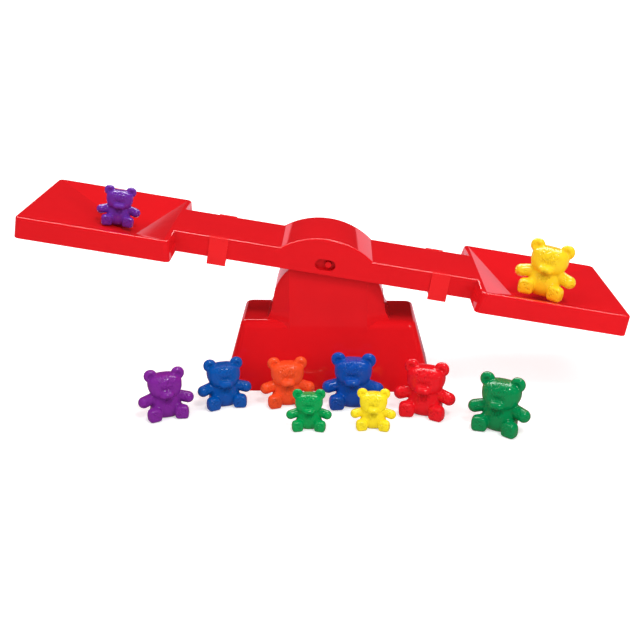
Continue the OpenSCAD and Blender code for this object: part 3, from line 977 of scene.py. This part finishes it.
# Name, height, place, heading in degrees and colour. On the table the place is in multiples
# of the bear's height, to the right of the middle and in front of the foot. On a pan it is
# X and Y.
TABLE_BEARS = (
    ("purple_medium", MEDIUM, -3.28, 1.19, 20, "purple"),
    ("blue_medium", MEDIUM, -2.15, 0.63, 18, "blue"),
    ("orange_medium", MEDIUM, -0.83, 0.54, 6, "orange"),
    ("green_small", SMALL, -0.43, 2.12, 0, "green"),
    ("blue_large", LARGE, 0.48, 0.53, -5, "blue_dark"),
    ("yellow_small", SMALL, 1.17, 2.05, -3, "yellow"),
    ("red_large", LARGE, 1.79, 0.86, -18, "red"),
    ("green_large", LARGE, 3.06, 1.47, -28, "green_dark"),
)
PAN_BEARS = (
    ("purple_small", SMALL, -142.28 * MM, -14.34 * MM, 8, "purple_dark"),
    ("yellow_large", LARGE, 146.1 * MM, -28.34 * MM, -22, "yellow_dark"),
)


def dress_bear(body, height, matrix, colour):
    """Builds a bear where the matrix puts it, and dresses it."""
    bear = build_bear("counter_" + body, height, matrix)
    dress(bear, BEAR_COLOURS[colour], body, "bear_" + body)


for body, height, right, ahead, heading, colour in TABLE_BEARS:
    spin = Matrix.Rotation(math.radians(heading), 4, "Z")
    seat = Matrix.Translation((right * height, -FOOT_HALF_DEPTH - ahead * height, 0))
    dress_bear(body, height, seat @ spin, colour)
for body, height, x, y, heading, colour in PAN_BEARS:
    spin = Matrix.Rotation(math.radians(heading), 4, "Z")
    seat = Matrix.Translation((x, y, ARM_TOP - perch(height, x, y, heading)))
    dress_bear(body, height, ON_PIVOT @ seat @ spin, colour)


# Floor, light and camera

WHITE = (1, 1, 1, 1)
# Painted reflection: a pink that the floor and world show only in reflections, tinting every
# reflection on the plastic
PAINTED_REFLECTION_PINK = (1, 0.45, 0.52, 1)
WORLD_LIGHT = 0.42
KEY_LIGHT = 0.8
KEY_AT = (-0.75, -0.45, 1.0)
KEY_SOFTNESS = math.radians(45)
AIM_AT = (0, 0, 0.05)

# The floor glows a little, so that it is white, and less round the bears, whose shadows show
FLOOR_HALF = 12
FLOOR_DROP = 0.05 * MM
FLOOR_COLOUR = (0.8, 0.8, 0.8, 1)
FLOOR_LIFT = 0.68
BEARS_LIFT = 0.46
BEARS_OFFSET = (0, 0.22, 0)
BEARS_SPREAD = (1, 2.2, 1)
BEARS_REACH = (0.13, 0.2)

# In reflections the floor grows from dim to a full painted pink between these places in Y
MIRRORED_Y = (0.0, 0.2)
MIRRORED_LEAST = 0.3

# In reflections the world is a painted pink below a line that slants in X, straight behind the
# object
SKYLINE_SLOPE, SKYLINE, LEAST_SKYLINE = -0.32, 0.083, 0.112
SKYLINE_BLUR = 0.001
BEHIND_Y = (0.8, 0.9)
WORLD_LEAST = 0.05

# The photograph's camera
LENS = 57.58
SENSOR = 36
CAMERA_AT = (9.24 * MM, -681.0 * MM, 288.8 * MM)
CAMERA_LOOKS = (-0.0211, 0.9383, -0.3453)


def mix_by_ray(nodes, links, ray, ordinary, special):
    """One shader for every ray but one kind, and another for that kind."""
    path = nodes.new("ShaderNodeLightPath")
    mix = nodes.new("ShaderNodeMixShader")
    links.new(path.outputs[ray], mix.inputs["Fac"])
    links.new(ordinary, mix.inputs[1])
    links.new(special, mix.inputs[2])
    return mix.outputs[0]


def build_floor():
    """White but for the object's soft shadow, and in reflections a painted pink behind the
    object.
    """
    far = FLOOR_HALF
    corners = [(-far, -far, 0), (far, -far, 0), (far, far, 0), (-far, far, 0)]
    floor = new_object("floor", corners, [(0, 1, 2, 3)])
    place(floor, Matrix.Translation((0, 0, -FLOOR_DROP)))
    made = bpy.data.materials.new("floor")
    made.use_nodes = True
    nodes, links = made.node_tree.nodes, made.node_tree.links
    nodes.remove(nodes["Principled BSDF"])
    diffuse = nodes.new("ShaderNodeBsdfDiffuse")
    diffuse.inputs["Color"].default_value = FLOOR_COLOUR
    place_node = nodes.new("ShaderNodeTexCoord")
    split = nodes.new("ShaderNodeSeparateXYZ")
    links.new(place_node.outputs["Object"], split.inputs[0])
    from_bears = nodes.new("ShaderNodeMapping")
    from_bears.inputs["Location"].default_value = BEARS_OFFSET
    from_bears.inputs["Scale"].default_value = BEARS_SPREAD
    links.new(place_node.outputs["Object"], from_bears.inputs["Vector"])
    away = nodes.new("ShaderNodeVectorMath")
    away.operation = "LENGTH"
    links.new(from_bears.outputs["Vector"], away.inputs[0])
    under = nodes.new("ShaderNodeMapRange")
    under.interpolation_type = "SMOOTHSTEP"
    under.inputs["From Min"].default_value = BEARS_REACH[0]
    under.inputs["From Max"].default_value = BEARS_REACH[1]
    under.inputs["To Min"].default_value = BEARS_LIFT
    under.inputs["To Max"].default_value = FLOOR_LIFT
    links.new(away.outputs["Value"], under.inputs["Value"])
    lift = nodes.new("ShaderNodeEmission")
    links.new(under.outputs["Result"], lift.inputs["Strength"])
    lifted = nodes.new("ShaderNodeAddShader")
    links.new(diffuse.outputs[0], lifted.inputs[0])
    links.new(lift.outputs[0], lifted.inputs[1])
    seen = mix_by_ray(nodes, links, "Is Camera Ray", diffuse.outputs[0], lifted.outputs[0])
    behind = nodes.new("ShaderNodeMapRange")
    behind.interpolation_type = "SMOOTHSTEP"
    behind.inputs["From Min"].default_value = MIRRORED_Y[0]
    behind.inputs["From Max"].default_value = MIRRORED_Y[1]
    behind.inputs["To Min"].default_value = MIRRORED_LEAST
    behind.inputs["To Max"].default_value = 1
    links.new(split.outputs["Y"], behind.inputs["Value"])
    # Painted reflection: to glossy rays the floor glows pink
    painted_reflection = nodes.new("ShaderNodeEmission")
    painted_reflection.inputs["Color"].default_value = PAINTED_REFLECTION_PINK
    links.new(behind.outputs["Result"], painted_reflection.inputs["Strength"])
    both = mix_by_ray(nodes, links, "Is Glossy Ray", seen, painted_reflection.outputs[0])
    links.new(both, nodes["Material Output"].inputs["Surface"])
    floor.data.materials.append(made)


def build_world():
    """White to the camera. In reflections, a painted pink low down behind the object and dark
    above.
    """
    world = bpy.data.worlds.new("studio")
    bpy.context.scene.world = world
    world.use_nodes = True
    nodes, links = world.node_tree.nodes, world.node_tree.links
    even = nodes["Background"]
    even.inputs["Color"].default_value = WHITE
    even.inputs["Strength"].default_value = WORLD_LIGHT
    place_node = nodes.new("ShaderNodeTexCoord")
    split = nodes.new("ShaderNodeSeparateXYZ")
    links.new(place_node.outputs["Generated"], split.inputs[0])
    slant = nodes.new("ShaderNodeMath")
    slant.operation = "MULTIPLY_ADD"
    slant.inputs[1].default_value = SKYLINE_SLOPE
    slant.inputs[2].default_value = SKYLINE
    links.new(split.outputs["X"], slant.inputs[0])
    limit = nodes.new("ShaderNodeMath")
    limit.operation = "MAXIMUM"
    limit.inputs[1].default_value = LEAST_SKYLINE
    links.new(slant.outputs[0], limit.inputs[0])
    above = nodes.new("ShaderNodeMath")
    above.operation = "SUBTRACT"
    links.new(split.outputs["Z"], above.inputs[0])
    links.new(limit.outputs[0], above.inputs[1])
    low = nodes.new("ShaderNodeMapRange")
    low.inputs["From Min"].default_value = -SKYLINE_BLUR
    low.inputs["From Max"].default_value = SKYLINE_BLUR
    low.inputs["To Min"].default_value = 1
    low.inputs["To Max"].default_value = 0
    links.new(above.outputs[0], low.inputs["Value"])
    back = nodes.new("ShaderNodeMapRange")
    back.inputs["From Min"].default_value = BEHIND_Y[0]
    back.inputs["From Max"].default_value = BEHIND_Y[1]
    links.new(split.outputs["Y"], back.inputs["Value"])
    both = nodes.new("ShaderNodeMath")
    both.operation = "MULTIPLY"
    links.new(low.outputs["Result"], both.inputs[0])
    links.new(back.outputs["Result"], both.inputs[1])
    level = nodes.new("ShaderNodeMath")
    level.operation = "MAXIMUM"
    level.inputs[1].default_value = WORLD_LEAST
    links.new(both.outputs[0], level.inputs[0])
    # Painted reflection: to glossy rays the world glows pink
    painted_reflection = nodes.new("ShaderNodeBackground")
    painted_reflection.inputs["Color"].default_value = PAINTED_REFLECTION_PINK
    links.new(level.outputs[0], painted_reflection.inputs["Strength"])
    white = nodes.new("ShaderNodeBackground")
    white.inputs["Color"].default_value = WHITE
    glossy = mix_by_ray(nodes, links, "Is Glossy Ray", even.outputs[0], painted_reflection.outputs[0])
    seen = mix_by_ray(nodes, links, "Is Camera Ray", glossy, white.outputs[0])
    links.new(seen, nodes["World Output"].inputs["Surface"])


def look_along(direction):
    """The turn that points a camera or a lamp along a direction."""
    return Vector(direction).to_track_quat("-Z", "Y").to_euler()


def aim(made, place_at):
    """Puts a lamp in the scene, pointed at the object."""
    made.location = place_at
    made.rotation_euler = look_along(Vector(AIM_AT) - Vector(place_at))
    bpy.context.scene.collection.objects.link(made)


def build_lamp(name, place_at, width, depth, radiance):
    """A soft lamp, its power worked out from how bright its face is."""
    lamp = bpy.data.lights.new(name, "AREA")
    lamp.shape = "RECTANGLE"
    lamp.size, lamp.size_y = width, depth
    lamp.energy = radiance * math.pi * width * depth
    made = bpy.data.objects.new(name, lamp)
    aim(made, place_at)
    return made


def build_key():
    """Soft light from the left and front, which throws the shadows to the right."""
    lamp = bpy.data.lights.new("key", "SUN")
    lamp.angle = KEY_SOFTNESS
    lamp.energy = KEY_LIGHT
    made = bpy.data.objects.new("key", lamp)
    aim(made, KEY_AT)
    made.visible_glossy = False


def build_camera():
    """The camera that was fitted to the photograph."""
    data = bpy.data.cameras.new("camera")
    data.sensor_fit = "HORIZONTAL"
    data.sensor_width = SENSOR
    data.lens = LENS
    data.clip_start = 0.01
    made = bpy.data.objects.new("camera", data)
    made.location = CAMERA_AT
    made.rotation_euler = look_along(CAMERA_LOOKS)
    bpy.context.scene.collection.objects.link(made)
    bpy.context.scene.camera = made


build_floor()
build_world()
build_key()
# Small and bright, for the sparkle on the bears
build_lamp("glint", (0.36, -0.74, 1.26), 0.28, 0.28, 26)
# Broad and soft, for the top faces
build_lamp("overhead", (0, 0.32, 1.2), 1.8, 0.7, 1.55)
# Seen only in reflections, for the light lines along the upper front edges
build_lamp("edge_glow", (0, 0.85, 1.15), 1.8, 0.75, 8.5).visible_diffuse = False
# Unseen in reflections, for the faces turned to the right
build_lamp("front_right", (1.0, -0.9, 0.55), 0.5, 0.5, 4.8).visible_glossy = False
build_camera()
bpy.context.scene.view_settings.view_transform = "Standard"
